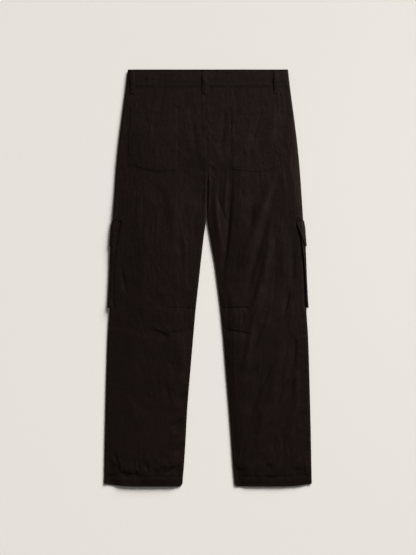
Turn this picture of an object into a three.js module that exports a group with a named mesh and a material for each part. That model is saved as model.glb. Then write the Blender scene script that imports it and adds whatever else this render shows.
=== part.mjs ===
// Cargo trousers in light crinkled nylon, laid flat on a table with the back upward.
// They are sewn from two back and two front leg panels, a waistband in three lengths, belt loops, two back
// patch pockets, and two cargo pockets with flaps that wrap round the side seams. The fly and its stud are
// underneath. The cloth lies in two layers, so each leg is a tube pressed flat, with rolled edges.
// Millimetres. +X is to the right over the back, +Y runs up the garment to the waist, +Z is up.
import * as THREE from "three";

// Driving sizes
const HALF_LENGTH = 532; // waist edge to hem is 1064
const WAISTBAND_FOOT = 487; // the band is 45 deep
const CLOTH = 1.2; // wall of a panel, a pocket or a flap
const BAND_CLOTH = 1.8; // wall of the waistband, which is folded double
const SEAM_GAP = 0.3;
const ROLL = 6; // how far in from the outline the edge of a leg curves
const SEAM_HEIGHT = 2.7; // side seam above the front panel's underside
const MIDDLE_HEIGHT = 4.2; // upper face of the back panel above the front panel's underside
const EDGE_HEIGHT = 6.2; // the same, along the rolled edges
const BAND_HEIGHT = 4.8; // the same, on the waistband
const LAYER = SEAM_GAP + CLOTH; // room that one piece of cloth takes between a front panel and the table
const CREST = 20; // width of the high strip along a rolled edge
const CREST_END = 60; // where that strip has sunk to the middle height
const CROTCH = 281;
const CROTCH_EASE = 60; // below the crotch, the length over which the seam becomes two rolled edges
const BAND_EASE = { from: 400, to: 466 }; // where folds and crests flatten out towards the waistband
const DEEPEST_TROUGH = 1.5;
const FOLDS_CLEAR_EDGE = { from: 18, to: 34 }; // folds fade this near the outer edge
const FOLD_FADE = 0.25; // share of a fold's length that fades, at each end

// The laid outline. outer: distance of both side seams from the middle line. left, right: the inner edge of
// each leg, which is the centre seam down to the crotch. The waist lies a little to the left.
const OUTLINE = [
  { y: 532, outer: 204.3, left: -9, right: -9 },
  { y: 487, outer: 209.4, left: -8, right: -8 },
  { y: 403, outer: 220.5, left: -5, right: -5 },
  { y: 342, outer: 228, left: -2.5, right: -2.5 },
  { y: 281, outer: 234, left: 0, right: 0 },
  { y: 220, outer: 238.5, left: -1.5, right: -1 },
  { y: 158, outer: 242.3, left: -3.8, right: -2.6 },
  { y: 97, outer: 245.7, left: -11.5, right: 6 },
  { y: 36, outer: 248.2, left: -18.4, right: 17 },
  { y: -25, outer: 249.8, left: -25, right: 25 },
  { y: -76, outer: 251, left: -30.6, right: 31.2 },
  { y: -147, outer: 255.6, left: -37, right: 38.5 },
  { y: -239, outer: 258.8, left: -44.8, right: 45.8 },
  { y: -331, outer: 261.2, left: -52.3, right: 53.3 },
  { y: -423, outer: 263.2, left: -57.4, right: 60 },
  { y: -532, outer: 265, left: -64.5, right: 67.5 },
];

// Folds of the upper cloth: soft ridges (height above 0) and troughs (below 0) along a bowed line.
// bow: how far the line's middle stands off to its left. half: the distance where the fold has died away
// to about a third.
const FOLDS = [
  // right leg, from the crotch and the seat down to the knee
  { fromX: 55, fromY: 262, toX: 29, toY: -24, bow: -8, height: -1.5, half: 7 },
  { fromX: 12, fromY: 250, toX: 36, toY: 40, bow: -4, height: 2.2, half: 8 },
  { fromX: 164, fromY: 285, toX: 82, toY: -4, bow: 6, height: 3.4, half: 12 },
  { fromX: 147, fromY: 200, toX: 84, toY: -62, bow: 5, height: -1.5, half: 8 },
  { fromX: 158, fromY: 125, toX: 93, toY: -132, bow: 9, height: 3, half: 11 },
  { fromX: 112, fromY: 196, toX: 103, toY: 95, bow: 0, height: -1.2, half: 7 },
  { fromX: 169, fromY: 120, toX: 171, toY: -100, bow: -4, height: -1.1, half: 6 },
  { fromX: 190, fromY: 150, toX: 188, toY: -40, bow: 3, height: 1.4, half: 10 },
  { fromX: 210, fromY: -20, toX: 192, toY: -100, bow: 0, height: -1.4, half: 7 },
  // right leg below the knee
  { fromX: 96, fromY: -140, toX: 98, toY: -270, bow: -3, height: 1.8, half: 9 },
  { fromX: 196, fromY: -130, toX: 148, toY: -285, bow: 4, height: 1.8, half: 13 },
  { fromX: 225, fromY: -150, toX: 207, toY: -280, bow: 3, height: -1.3, half: 9 },
  { fromX: 147, fromY: -195, toX: 108, toY: -372, bow: 6, height: -1.4, half: 13 },
  { fromX: 176, fromY: -300, toX: 150, toY: -430, bow: 4, height: 1.4, half: 12 },
  // left leg
  { fromX: -226, fromY: 44, toX: -205, toY: -56, bow: 0, height: -1.4, half: 7 },
  { fromX: -150, fromY: -132, toX: -98, toY: -152, bow: -3, height: -1.5, half: 6 },
  { fromX: -146, fromY: -112, toX: -92, toY: -136, bow: 0, height: 1.6, half: 8 },
  { fromX: -80, fromY: 130, toX: -57, toY: 0, bow: 0, height: -0.9, half: 8 },
  { fromX: -100, fromY: 250, toX: -86, toY: 60, bow: 3, height: 1.3, half: 11 },
  { fromX: -128, fromY: -20, toX: -96, toY: -66, bow: 0, height: 1.5, half: 9 },
  { fromX: -82, fromY: -140, toX: -74, toY: -230, bow: 0, height: 1.6, half: 13 },
  { fromX: -113, fromY: -250, toX: -96, toY: -330, bow: 0, height: -1, half: 9 },
  // seat, beside the centre seam
  { fromX: 45, fromY: 450, toX: 28, toY: 300, bow: 3, height: -0.9, half: 8 },
  { fromX: -40, fromY: 420, toX: -30, toY: 290, bow: 0, height: -0.7, half: 8 },
];

// Rows of a panel's lattice: their heights at the outer edge, at the bend and at the inner edge. Two darts
// are stitched into each knee, and each has a row along it and a row on both sides of it.
const ROW_BEND = 0.43; // the bend's share of the way across
const DART_REACH = 74;
const DART_DEPTH = 1.2;
const DART_SIDE = 5;
const UPPER_DART = { outer: -75, bend: -74, inner: -76 };
const LOWER_DART = { outer: -164, bend: -157, inner: -128 };
const POCKET_MOUTH = { outer: 441, bend: 438, inner: 436 };
const POCKET_FOOT = { outer: 299, bend: 270, inner: 282 };
const HEM_STITCH = -505;
const level = (y) => ({ outer: y, bend: y, inner: y });
const shifted = (row, by) => ({ outer: row.outer + by, bend: row.bend + by, inner: row.inner + by });
const BACK_ROWS = [
  ...[WAISTBAND_FOOT - SEAM_GAP, 466].map(level),
  POCKET_MOUTH,
  ...[412, 380, 350, 322].map(level),
  POCKET_FOOT,
  ...[246, 216, 186, 158, 128, 97, 66, 36, 5, -25, -52].map(level),
  shifted(UPPER_DART, DART_SIDE),
  UPPER_DART,
  shifted(UPPER_DART, -DART_SIDE),
  level(-102),
  shifted(LOWER_DART, DART_SIDE),
  LOWER_DART,
  shifted(LOWER_DART, -DART_SIDE),
  ...[-190, -218, -246, -275, -305, -335, -365, -395, -425, -455, -482].map(level),
  ...[HEM_STITCH + 2, HEM_STITCH - 2, -520, -HALF_LENGTH].map(level),
];
const FRONT_ROWS = [
  WAISTBAND_FOOT - SEAM_GAP, 440, 385, 335, 300, 265, 230, 216, 186, 158, 97, 66, 36, 5, -52, -96, -118, -140,
  -190, -275, -365, -455, HEM_STITCH, -HALF_LENGTH,
].map(level);
const HEM_THICKENING = 0.6; // the turned-up hem stands this much prouder
const HEM_CURVE_FROM = -470;
const HEM_OUTER_RISE = 7;
const HEM_RISE_SHARE = 0.4; // the hem's outer rise spans this share of its width
const HEM_CORNER = 10;

// Back patch pockets: their sides, signed, at the mouth and at the foot
const BACK_POCKETS = {
  left: { outerTop: -199, outerFoot: -204.5, innerTop: -77, innerFoot: -79 },
  right: { outerTop: 187, outerFoot: 191, innerTop: 60, innerFoot: 61.5 },
};

// Cargo pockets and flaps. lip: how far the cloth reaches over the back. swell: how far it stands out.
const CARGO_REACH = 150; // how far it reaches under the front
const CARGO = [
  { y: 133, lip: 15, swell: 1 },
  { y: 97, lip: 11, swell: 1.4 },
  { y: 66, lip: 8, swell: 1.5 },
  { y: 36, lip: 6.4, swell: 1.7 },
  { y: 5, lip: 5.5, swell: 2 },
  { y: -25, lip: 5.6, swell: 2.6 },
  { y: -52, lip: 6.5, swell: 3.5 },
  { y: -76, lip: 9, swell: 4.6 },
];
const FLAP_REACH = 158;
const FLAP = [
  { y: 146, lip: 17.5, swell: 1.2 },
  { y: 140, lip: 17, swell: 1.3 },
  { y: 134.5, lip: 16, swell: 1.6 },
  { y: 112, lip: 10.5, swell: 2.4 },
  { y: 95, lip: 5.5, swell: 3.2 },
  { y: 81, lip: 1.6, swell: 4 },
];
// The front panel climbs over what lies beneath it: the cargo pocket, its flap, and the seat's loops and fly.
const CLIMB_ACROSS = { from: FLAP_REACH + 18, to: FLAP_REACH + 48 };
const POCKET_CLIMB = { from: -140, to: -96 };
const FLAP_CLIMB = { from: 20, to: 66 };
const CARGO_DESCENT = { from: 158, to: 216 };
const SEAT_CLIMB = { from: 230, to: 300 };

// Belt loops, fly and stud
const LOOP = { width: 13, top: 530, foot: 471, footLength: 6, bow: 1.3, bowFrom: 0.3, bowTo: 0.55 };
const LOOP_STEP = { length: 4, height: 0.2 }; // where a loop comes down from the band to the panel
const BACK_LOOPS = { left: -193, centre: -9, right: 173.6 };
const FRONT_LOOPS = { left: -119, right: 101 };
const FLY = { x: -9, width: 38, top: WAISTBAND_FOOT - 1, foot: 312, corner: 30 };
const STUD = { x: -24, y: 509, radius: 8, face: 6.8, bevel: 0.5, sides: 24 };

const mix = (a, b, t) => a + (b - a) * t;
const rise = (from, to, v) => {
  const t = Math.min(1, Math.max(0, (v - from) / (to - from)));
  return t * t * (3 - 2 * t);
};
const climb = ({ from, to }, v) => rise(from, to, v);

// A smooth curve through a table's rows that never overshoots them; its slopes are harmonic means.
function along(table, column, y) {
  const last = table.length - 1;
  let k = 0;
  while (k < last - 1 && y < table[k + 1].y) k += 1;
  const secant = (i) => (table[i + 1][column] - table[i][column]) / (table[i + 1].y - table[i].y);
  const slope = (i) => {
    if (i === 0) return secant(0);
    if (i === last) return secant(last - 1);
    const [a, b] = [secant(i - 1), secant(i)];
    return a * b > 0 ? (2 * a * b) / (a + b) : 0;
  };
  const [p, q] = [table[k], table[k + 1]];
  const span = q.y - p.y;
  const t = Math.min(1, Math.max(0, (y - p.y) / span));
  return (
    p[column] * (1 + 2 * t) * (1 - t) ** 2 + slope(k) * span * t * (1 - t) ** 2 +
    q[column] * t * t * (3 - 2 * t) + slope(k + 1) * span * t * t * (t - 1)
  );
}

// One side of the garment: sign is -1 for the left, which is the wearer's left too.
const SIDES = ["left", "right"].map((name) => {
  const sign = name === "left" ? -1 : 1;
  const seam = (sign * SEAM_GAP) / 2;
  return {
    name,
    sign,
    outer: (y) => sign * along(OUTLINE, "outer", y),
    inner: (y) => along(OUTLINE, name, y) + seam,
    pocket: BACK_POCKETS[name],
  };
});

// How high the front panel's underside lies above the table
function floorOf(side, x, y) {
  const across = 1 - climb(CLIMB_ACROSS, Math.abs(side.outer(y) - x));
  const cargo = (climb(POCKET_CLIMB, y) + climb(FLAP_CLIMB, y)) * (1 - climb(CARGO_DESCENT, y));
  return LAYER * (across * cargo + climb(SEAT_CLIMB, y));
}

// 0 at the centre seam, 1 where the leg has an inner edge of its own
const legOpen = (y) => 1 - rise(CROTCH - CROTCH_EASE, CROTCH, y);

function foldHeight(x, y) {
  let total = 0;
  for (const f of FOLDS) {
    const [dx, dy] = [f.toX - f.fromX, f.toY - f.fromY];
    const length = Math.hypot(dx, dy);
    const t = ((x - f.fromX) * dx + (y - f.fromY) * dy) / length ** 2;
    if (t <= 0 || t >= 1) continue;
    const off = (dx * (y - f.fromY) - dy * (x - f.fromX)) / length - f.bow * 4 * t * (1 - t);
    total += f.height * Math.exp(-((off / f.half) ** 2)) * rise(0, FOLD_FADE, t) * rise(0, FOLD_FADE, 1 - t);
  }
  return total;
}

// Upper face of the back panel
function backTop(side, x, y) {
  const fromOuter = Math.abs(side.outer(y) - x);
  const fromInner = Math.abs(x - side.inner(y));
  const crest = (d) => 1 - rise(CREST, CREST_END, d);
  const both = Math.max(crest(fromOuter), crest(fromInner) * legOpen(y));
  const belowBand = 1 - climb(BAND_EASE, y);
  const height = mix(MIDDLE_HEIGHT, EDGE_HEIGHT, both * belowBand);
  const folds = foldHeight(x, y) * climb(FOLDS_CLEAR_EDGE, fromOuter) * belowBand;
  const hem = y < HEM_STITCH ? HEM_THICKENING : 0;
  return floorOf(side, x, y) + Math.max(MIDDLE_HEIGHT - DEEPEST_TROUGH, height + folds) + hem;
}

// The height of a lattice row at share s of the way from the outer edge to the inner edge
const rowY = (row, s) =>
  s < ROW_BEND
    ? mix(row.outer, row.bend, s / ROW_BEND)
    : mix(row.bend, row.inner, (s - ROW_BEND) / (1 - ROW_BEND));

// Both hems dip in the middle, and turn up in a small round at the inner corner
function hemRise(y, s, fromInner) {
  const outer = HEM_OUTER_RISE * Math.max(0, 1 - s / HEM_RISE_SHARE) ** 2;
  const into = Math.max(0, HEM_CORNER - fromInner);
  const inner = HEM_CORNER - Math.sqrt(HEM_CORNER ** 2 - into ** 2);
  return (outer + inner) * rise(HEM_CURVE_FROM, -HALF_LENGTH, y);
}

// Stations across a panel: rolled at both edges, and on the back two of them follow the pocket's sides and
// go on down the leg at fixed shares of its width. roll: angle round an edge, 90 degrees where it is flat.
const ROLL_ANGLES = [0, 30, 60, 90].map(THREE.MathUtils.degToRad);
const between = (count) => Array.from({ length: count }, (_, i) => (i + 1) / (count + 1));
const ACROSS = { pocket: 9, besidePocket: 4, front: 6 };
const LEG_SHARES = { outer: 0.2, inner: 0.74, reachedAt: 60 };
const rolled = (edge, inward) =>
  ROLL_ANGLES.map((roll) => ({ x: edge + inward * ROLL * (1 - Math.cos(roll)), edge, roll }));

function backStations(side, y) {
  const { sign, pocket } = side;
  const [outer, inner] = [side.outer(y), side.inner(y)];
  const down = (POCKET_MOUTH.outer - y) / (POCKET_MOUTH.outer - POCKET_FOOT.inner);
  const intoLeg = 1 - rise(LEG_SHARES.reachedAt, POCKET_FOOT.inner, y);
  const legOuter = mix(outer, inner, LEG_SHARES.outer);
  const legInner = mix(outer, inner, LEG_SHARES.inner);
  const pocketOuter = mix(mix(pocket.outerTop, pocket.outerFoot, down), legOuter, intoLeg);
  const pocketInner = mix(mix(pocket.innerTop, pocket.innerFoot, down), legInner, intoLeg);
  const flatEnd = inner + sign * ROLL;
  return [
    ...rolled(outer, -sign),
    { x: mix(outer - sign * ROLL, pocketOuter, 0.5) },
    { x: pocketOuter },
    ...between(ACROSS.pocket).map((t) => ({ x: mix(pocketOuter, pocketInner, t) })),
    { x: pocketInner },
    ...between(ACROSS.besidePocket).map((t) => ({ x: mix(pocketInner, flatEnd, t) })),
    ...rolled(inner, sign).reverse(),
  ];
}
const POCKET_COLUMNS = { from: ROLL_ANGLES.length + 1, to: ROLL_ANGLES.length + 2 + ACROSS.pocket };

function frontStations(side, y) {
  const { sign } = side;
  const [outer, inner] = [side.outer(y), side.inner(y)];
  const [first, last] = [outer - sign * ROLL, inner + sign * ROLL];
  return [
    ...rolled(outer, -sign),
    ...between(ACROSS.front).map((t) => ({ x: mix(first, last, t) })),
    ...rolled(inner, sign).reverse(),
  ];
}

// Where a station of a row lies: its x, its y with the row's slant and the hem's curve, and its roll
function place(side, stationsAt, row, i) {
  const flat = stationsAt(side, row.inner);
  const s = (flat[i].x - flat[0].x) / (flat.at(-1).x - flat[0].x);
  const y = rowY(row, s);
  const station = stationsAt(side, y)[i];
  const fromInner = Math.abs(station.x - side.inner(y));
  return { ...station, y: y + hemRise(y, s, fromInner), levelY: y, isInner: i > flat.length / 2 };
}

// A wall's point on a rolled edge. level is the flat height of this face, thin the cloth that this face
// lies inside the outer one, and open 0 where the edge is a plain butt seam.
function rollPoint(side, at, seam, level, thin, open) {
  const towards = at.isInner ? side.sign : -side.sign;
  const centre = at.edge + towards * ROLL;
  const rounded = new THREE.Vector2(
    centre - towards * (ROLL - thin) * Math.cos(at.roll),
    mix(seam, level, Math.sin(at.roll)),
  );
  return new THREE.Vector3(mix(at.x, rounded.x, open), at.y, mix(level, rounded.y, open));
}

// A closed sheet between an outer and an inner lattice of the same size
function sheet(rows, columns, outerAt, innerAt) {
  const points = [];
  for (const pointAt of [outerAt, innerAt])
    for (let j = 0; j < rows; j += 1) for (let i = 0; i < columns; i += 1) points.push(pointAt(i, j));
  const top = (i, j) => j * columns + i;
  const under = (i, j) => rows * columns + top(i, j);
  const index = [];
  const quad = (a, b, c, d) => index.push(a, b, c, a, c, d);
  for (let j = 0; j + 1 < rows; j += 1)
    for (let i = 0; i + 1 < columns; i += 1) {
      quad(top(i, j), top(i + 1, j), top(i + 1, j + 1), top(i, j + 1));
      quad(under(i, j), under(i, j + 1), under(i + 1, j + 1), under(i + 1, j));
    }
  for (let i = 0; i + 1 < columns; i += 1) {
    quad(top(i + 1, 0), top(i, 0), under(i, 0), under(i + 1, 0));
    quad(top(i, rows - 1), top(i + 1, rows - 1), under(i + 1, rows - 1), under(i, rows - 1));
  }
  for (let j = 0; j + 1 < rows; j += 1) {
    quad(top(0, j), top(0, j + 1), under(0, j + 1), under(0, j));
    quad(top(columns - 1, j + 1), top(columns - 1, j), under(columns - 1, j), under(columns - 1, j + 1));
  }
  // The left and right sides are walked in opposite directions, so faces are turned to point outwards.
  let volume = 0;
  for (let k = 0; k < index.length; k += 3) {
    const [a, b, c] = [points[index[k]], points[index[k + 1]], points[index[k + 2]]];
    volume += a.dot(new THREE.Vector3().crossVectors(b, c));
  }
  if (volume < 0) index.reverse();
  const geometry = new THREE.BufferGeometry().setFromPoints(points);
  geometry.setIndex(index);
  geometry.computeVertexNormals();
  return geometry;
}

const nylon = () => new THREE.MeshStandardMaterial({ color: "#1d1817", roughness: 0.55, metalness: 0 });
const metal = () => new THREE.MeshStandardMaterial({ color: "#2a2829", roughness: 0.4, metalness: 1 });
const garment = new THREE.Group();
function add(name, geometry, material = nylon()) {
  const mesh = new THREE.Mesh(geometry, material);
  mesh.name = name;
  garment.add(mesh);
  return mesh;
}

// Stitched knee darts run in from the inseam and end within the back panel.
function dartDepth(side, row, x, y) {
  const isDart = row === UPPER_DART || row === LOWER_DART;
  const inward = Math.abs(x - side.inner(y));
  return isDart ? DART_DEPTH * (1 - rise(DART_REACH - 8, DART_REACH + 4, inward)) : 0;
}

// The upper face of a back panel at lattice point (i, j), raised by above
function backFace(side, i, j, above, thin = 0) {
  const row = BACK_ROWS[j];
  const at = place(side, backStations, row, i);
  const top = backTop(side, at.x, at.levelY) - dartDepth(side, row, at.x, at.levelY);
  const seam = floorOf(side, at.x, at.levelY) + SEAM_HEIGHT;
  const open = at.roll === undefined ? 0 : at.isInner ? legOpen(at.levelY) : 1;
  const face = at.roll === undefined
    ? new THREE.Vector3(at.x, at.y, top - thin)
    : rollPoint(side, at, seam, top - thin, thin, open);
  return face.setZ(face.z + above);
}

function backPanel(side) {
  const columns = backStations(side, 0).length;
  const geometry = sheet(
    BACK_ROWS.length,
    columns,
    (i, j) => backFace(side, i, j, 0),
    (i, j) => backFace(side, i, j, 0, CLOTH),
  );
  add(`back_panel_${side.name}`, geometry);
}

function frontFace(side, i, j, thin) {
  const at = place(side, frontStations, FRONT_ROWS[j], i);
  const floor = floorOf(side, at.x, at.levelY);
  if (at.roll === undefined) return new THREE.Vector3(at.x, at.y, floor + thin);
  const open = at.isInner ? legOpen(at.levelY) : 1;
  return rollPoint(side, at, floor + SEAM_HEIGHT - SEAM_GAP, floor + thin, thin, open);
}

function frontPanel(side) {
  const columns = frontStations(side, 0).length;
  const geometry = sheet(
    FRONT_ROWS.length,
    columns,
    (i, j) => frontFace(side, i, j, 0),
    (i, j) => frontFace(side, i, j, CLOTH),
  );
  add(`front_panel_${side.name}`, geometry);
}

// A patch pocket lies on the panel's own lattice points, from its mouth to its foot.
const POCKET_MOUTH_HEM = 0.5;
function backPocket(side) {
  const firstRow = BACK_ROWS.indexOf(POCKET_MOUTH);
  const rows = BACK_ROWS.indexOf(POCKET_FOOT) - firstRow + 1;
  const columns = POCKET_COLUMNS.to - POCKET_COLUMNS.from + 1;
  const pointAt = (above, mouthHem) => (i, j) =>
    backFace(side, i + POCKET_COLUMNS.from, j + firstRow, above + (j === 0 ? mouthHem : 0));
  const [outside, inside] = [pointAt(SEAM_GAP + CLOTH, POCKET_MOUTH_HEM), pointAt(SEAM_GAP, 0)];
  add(`back_pocket_${side.name}`, sheet(rows, columns, outside, inside));
}

// A wall that wraps round the rolled side edge, from its lip on the back to its reach under the front.
// off is how far this face stands off the panels.
const LIP_STEPS = 6;
const UNDER_STEPS = 3;
function wrapPoint(side, size, reach, off, i) {
  const { y } = size;
  const edge = side.outer(y);
  const floor = floorOf(side, edge, y);
  const crest = floor + EDGE_HEIGHT;
  const seam = floor + SEAM_HEIGHT;
  const isUpper = i <= LIP_STEPS;
  const inward = isUpper
    ? size.lip * (1 - i / LIP_STEPS) ** 2
    : mix(0, reach, ((i - LIP_STEPS) / (LIP_STEPS + UNDER_STEPS)) ** 3);
  const cosine = Math.max(0, 1 - inward / ROLL);
  const sine = Math.sqrt(1 - cosine ** 2);
  const x = inward < ROLL
    ? edge - side.sign * ROLL + side.sign * (ROLL + off + size.swell) * cosine
    : edge - side.sign * inward;
  const z = isUpper ? seam + (crest - seam + off) * sine : seam - (seam - floor + off) * sine;
  return new THREE.Vector3(x, y, z);
}

const WRAP_COLUMNS = 2 * LIP_STEPS + UNDER_STEPS + 1;
function cargoPocket(side) {
  const faceAt = (off) => (i, j) => wrapPoint(side, CARGO[j], CARGO_REACH, off, i);
  const geometry = sheet(CARGO.length, WRAP_COLUMNS, faceAt(SEAM_GAP + CLOTH), faceAt(SEAM_GAP));
  add(`cargo_pocket_${side.name}`, geometry);
}

// The flap is sewn to the panels above the pocket and lies over the pocket below that seam.
function cargoFlap(side) {
  const over = (y) => SEAM_GAP + (SEAM_GAP + CLOTH) * (1 - rise(CARGO[0].y + 2, FLAP[0].y, y));
  const faceAt = (thick) => (i, j) => wrapPoint(side, FLAP[j], FLAP_REACH, over(FLAP[j].y) + thick, i);
  add(`cargo_flap_${side.name}`, sheet(FLAP.length, WRAP_COLUMNS, faceAt(CLOTH), faceAt(0)));
}

// The waistband: one length behind, two in front that meet over the fly
const BAND_ROWS = [WAISTBAND_FOOT, 498, 521, HALF_LENGTH];
function bandFace(side, at, level, seam, thin, y) {
  const point = { ...at, y, isInner: false };
  return at.roll === undefined
    ? new THREE.Vector3(at.x, y, level)
    : rollPoint(side, point, seam, level, thin, 1);
}
function bandStations(side, y, end) {
  const outer = side.outer(y);
  return [
    ...rolled(outer, -side.sign),
    ...between(4).map((t) => ({ x: mix(outer - side.sign * ROLL, end, t) })),
  ];
}
function waistbandBack() {
  const [left, right] = SIDES;
  const top = LAYER + BAND_HEIGHT;
  const seam = LAYER + SEAM_HEIGHT;
  const faceAt = (thin) => (i, j) => {
    const y = BAND_ROWS[j];
    const half = bandStations(left, y, 0).map((at) => bandFace(left, at, top - thin, seam, thin, y));
    const other = bandStations(right, y, 0).map((at) => bandFace(right, at, top - thin, seam, thin, y));
    return [...half, ...other.reverse()][i];
  };
  const columns = 2 * bandStations(left, 0, 0).length;
  add("waistband_back", sheet(BAND_ROWS.length, columns, faceAt(0), faceAt(BAND_CLOTH)));
}
function waistbandFront(side) {
  const floor = LAYER;
  const seam = LAYER + SEAM_HEIGHT - SEAM_GAP;
  const faceAt = (thin) => (i, j) => {
    const y = BAND_ROWS[j];
    const end = side.inner(y);
    const across = bandStations(side, y, end).map((at) => bandFace(side, at, floor + thin, seam, thin, y));
    return [...across, new THREE.Vector3(end, y, floor + thin)][i];
  };
  const columns = bandStations(side, 0, 0).length + 1;
  add(`waistband_front_${side.name}`, sheet(BAND_ROWS.length, columns, faceAt(0), faceAt(BAND_CLOTH)));
}

// Extrudes an outline drawn in (y, z) sideways by width, centred on x
function extrudeAcross(outline, x, width) {
  const geometry = new THREE.ExtrudeGeometry(outline, { depth: width, bevelEnabled: false });
  geometry.rotateX(Math.PI / 2).rotateZ(Math.PI / 2).translate(x - width / 2, 0, 0);
  return geometry;
}

// A loop over the back of the band: sewn down at the top, bowed a little, and down again on the panel
function backLoop(name, x) {
  const band = LAYER + BAND_HEIGHT + SEAM_GAP;
  const panel = LAYER + MIDDLE_HEIGHT + SEAM_GAP;
  const { top, foot, footLength, bow, bowFrom, bowTo } = LOOP;
  const underside = [
    [top, band],
    [top - footLength, band],
    [mix(top, foot, bowFrom), band + bow],
    [mix(top, foot, bowTo), band + bow],
    [foot + footLength + LOOP_STEP.length, band + LOOP_STEP.height],
    [foot + footLength, panel],
    [foot, panel],
  ].map(([y, z]) => new THREE.Vector2(y, z));
  const upperside = underside.map((p) => new THREE.Vector2(p.x, p.y + CLOTH)).reverse();
  add(name, extrudeAcross(new THREE.Shape([...underside, ...upperside]), x, LOOP.width));
}
function frontLoop(name, x) {
  const { foot, top } = LOOP;
  const corners = [[foot, 0], [top, 0], [top, CLOTH], [foot, CLOTH]];
  const outline = new THREE.Shape(corners.map(([y, z]) => new THREE.Vector2(y, z)));
  add(name, extrudeAcross(outline, x, LOOP.width));
}

// The fly's placket, straight along the centre front and rounded at its foot
function flyPlacket() {
  const { x, width, top, foot, corner } = FLY;
  const shape = new THREE.Shape();
  shape.moveTo(x, top);
  shape.lineTo(x - width, top);
  shape.lineTo(x - width, foot + corner);
  shape.quadraticCurveTo(x - width, foot, x, foot);
  add("fly_placket", new THREE.ExtrudeGeometry(shape, { depth: CLOTH, bevelEnabled: false, curveSegments: 8 }));
}

// The cap of the waist's press stud: a low turned disc with a bevelled edge, its face on the table
function waistStud() {
  const { x, y, radius, face, bevel, sides } = STUD;
  const profile = [[0, 0], [face, 0], [radius, bevel], [radius, CLOTH], [0, CLOTH]];
  const geometry = new THREE.LatheGeometry(profile.map(([r, z]) => new THREE.Vector2(r, z)), sides);
  const mesh = add("waist_stud", geometry.rotateX(Math.PI / 2), metal());
  mesh.position.set(x, y, 0);
}

for (const side of SIDES) {
  backPanel(side);
  frontPanel(side);
  backPocket(side);
  cargoPocket(side);
  cargoFlap(side);
  waistbandFront(side);
}
waistbandBack();
for (const [name, x] of Object.entries(BACK_LOOPS)) backLoop(`belt_loop_back_${name}`, x);
for (const [name, x] of Object.entries(FRONT_LOOPS)) frontLoop(`belt_loop_front_${name}`, x);
flyPlacket();
waistStud();

export default garment;
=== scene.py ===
# Cargo trousers in black crinkled nylon, laid flat on a pale table with the back upward, seen from above.
# Tables and sizes are in millimetres, with +X to the right, +Y up the garment and +Z up from the table.
import math

import bpy
import numpy as np
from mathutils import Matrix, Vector


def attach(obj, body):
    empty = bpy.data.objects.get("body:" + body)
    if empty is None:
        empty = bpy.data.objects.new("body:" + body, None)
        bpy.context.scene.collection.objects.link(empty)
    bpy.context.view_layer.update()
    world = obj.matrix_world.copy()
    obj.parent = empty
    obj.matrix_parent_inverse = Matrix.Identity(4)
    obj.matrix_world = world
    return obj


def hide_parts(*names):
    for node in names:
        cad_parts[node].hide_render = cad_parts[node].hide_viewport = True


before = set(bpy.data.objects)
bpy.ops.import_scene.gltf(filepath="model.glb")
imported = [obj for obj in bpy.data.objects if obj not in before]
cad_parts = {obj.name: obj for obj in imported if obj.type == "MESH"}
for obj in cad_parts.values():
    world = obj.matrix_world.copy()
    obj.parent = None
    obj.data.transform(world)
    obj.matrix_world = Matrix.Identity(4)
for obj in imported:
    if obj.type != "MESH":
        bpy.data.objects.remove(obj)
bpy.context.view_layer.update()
MM = 0.001

# The camera
# It hangs above the middle of the table and looks straight down. The picture's long side takes in 555
# pixels of 2.55 mm at the height of the cloth.
PICTURE_LONG_SIDE = 555
PIXEL = 2.55
LENS = 85
SENSOR = 36
CLOTH_LEVEL = 6
LOOKS_AT = (0.2, 1.3)


def add_object(name, data):
    """An object at the origin, put into the scene."""
    added = bpy.data.objects.new(name, data)
    bpy.context.scene.collection.objects.link(added)
    return added


camera = add_object("camera", bpy.data.cameras.new("camera"))
camera.data.lens = LENS
camera.data.sensor_width = SENSOR
camera_height = PICTURE_LONG_SIDE * PIXEL * LENS / SENSOR + CLOTH_LEVEL
camera.location = (LOOKS_AT[0] * MM, LOOKS_AT[1] * MM, camera_height * MM)
bpy.context.scene.camera = camera

# The back legs
# Each is one panel of nylon taffeta from the waistband to the hem, sewn to its neighbour down the seat and to
# the front panel along the side seam and the inseam. It lies over the front panel with a little air between,
# so its edges are rolled, and two darts are stitched into each knee.
HALF_LENGTH = 532
WAISTBAND_FOOT = 487
# The gap between pieces that meet, the panels' wall, and the radius and the height of a leg's rolled edge
SEAM_GAP = 0.3
CLOTH = 0.8
ROLL = 6
SEAM_HEIGHT = 2.7
# The back's height over flat cloth, the deepest trough in it, and the lift of each layer that lies underneath
MIDDLE_HEIGHT = 4.2
DEEPEST_TROUGH = 1.5
LAYER = 1.5
CROTCH = 281
CROTCH_EASE = 60
HEM_STITCH = -505
HEM_PROUD = 0.6
SIDES = {"left": -1, "right": 1}


def table(columns, rows):
    """Rows of numbers as one array for each named column."""
    return dict(zip(columns.split(), np.array(rows, float).T))


# outer: both side seams. left and right: each leg's inner edge, which is the centre seam at the seat.
OUTLINE = table("y outer left right", [
    (-532, 265, -64.5, 67.5), (-423, 263.2, -57.4, 60), (-331, 261.2, -52.3, 53.3),
    (-239, 258.8, -44.8, 45.8), (-147, 255.6, -37, 38.5), (-76, 251, -30.6, 31.2), (-25, 249.8, -25, 25),
    (36, 248.2, -18.4, 17), (97, 245.7, -11.5, 6), (158, 242.3, -3.8, -2.6), (220, 238.5, -1.5, -1),
    (281, 234, 0, 0), (342, 228, -2.5, -2.5), (403, 220.5, -5, -5), (487, 209.4, -8, -8),
    (532, 204.3, -9, -9),
])


def mix(a, b, t):
    return a + (b - a) * t


def rise(start, end, v):
    """0 before start, 1 after end, and 3t^2 - 2t^3 between them."""
    t = np.clip((v - start) / (end - start), 0, 1)
    return t * t * (3 - 2 * t)


def fade(start, end, v):
    """1 before start and 0 after end."""
    return 1 - rise(start, end, v)


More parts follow.
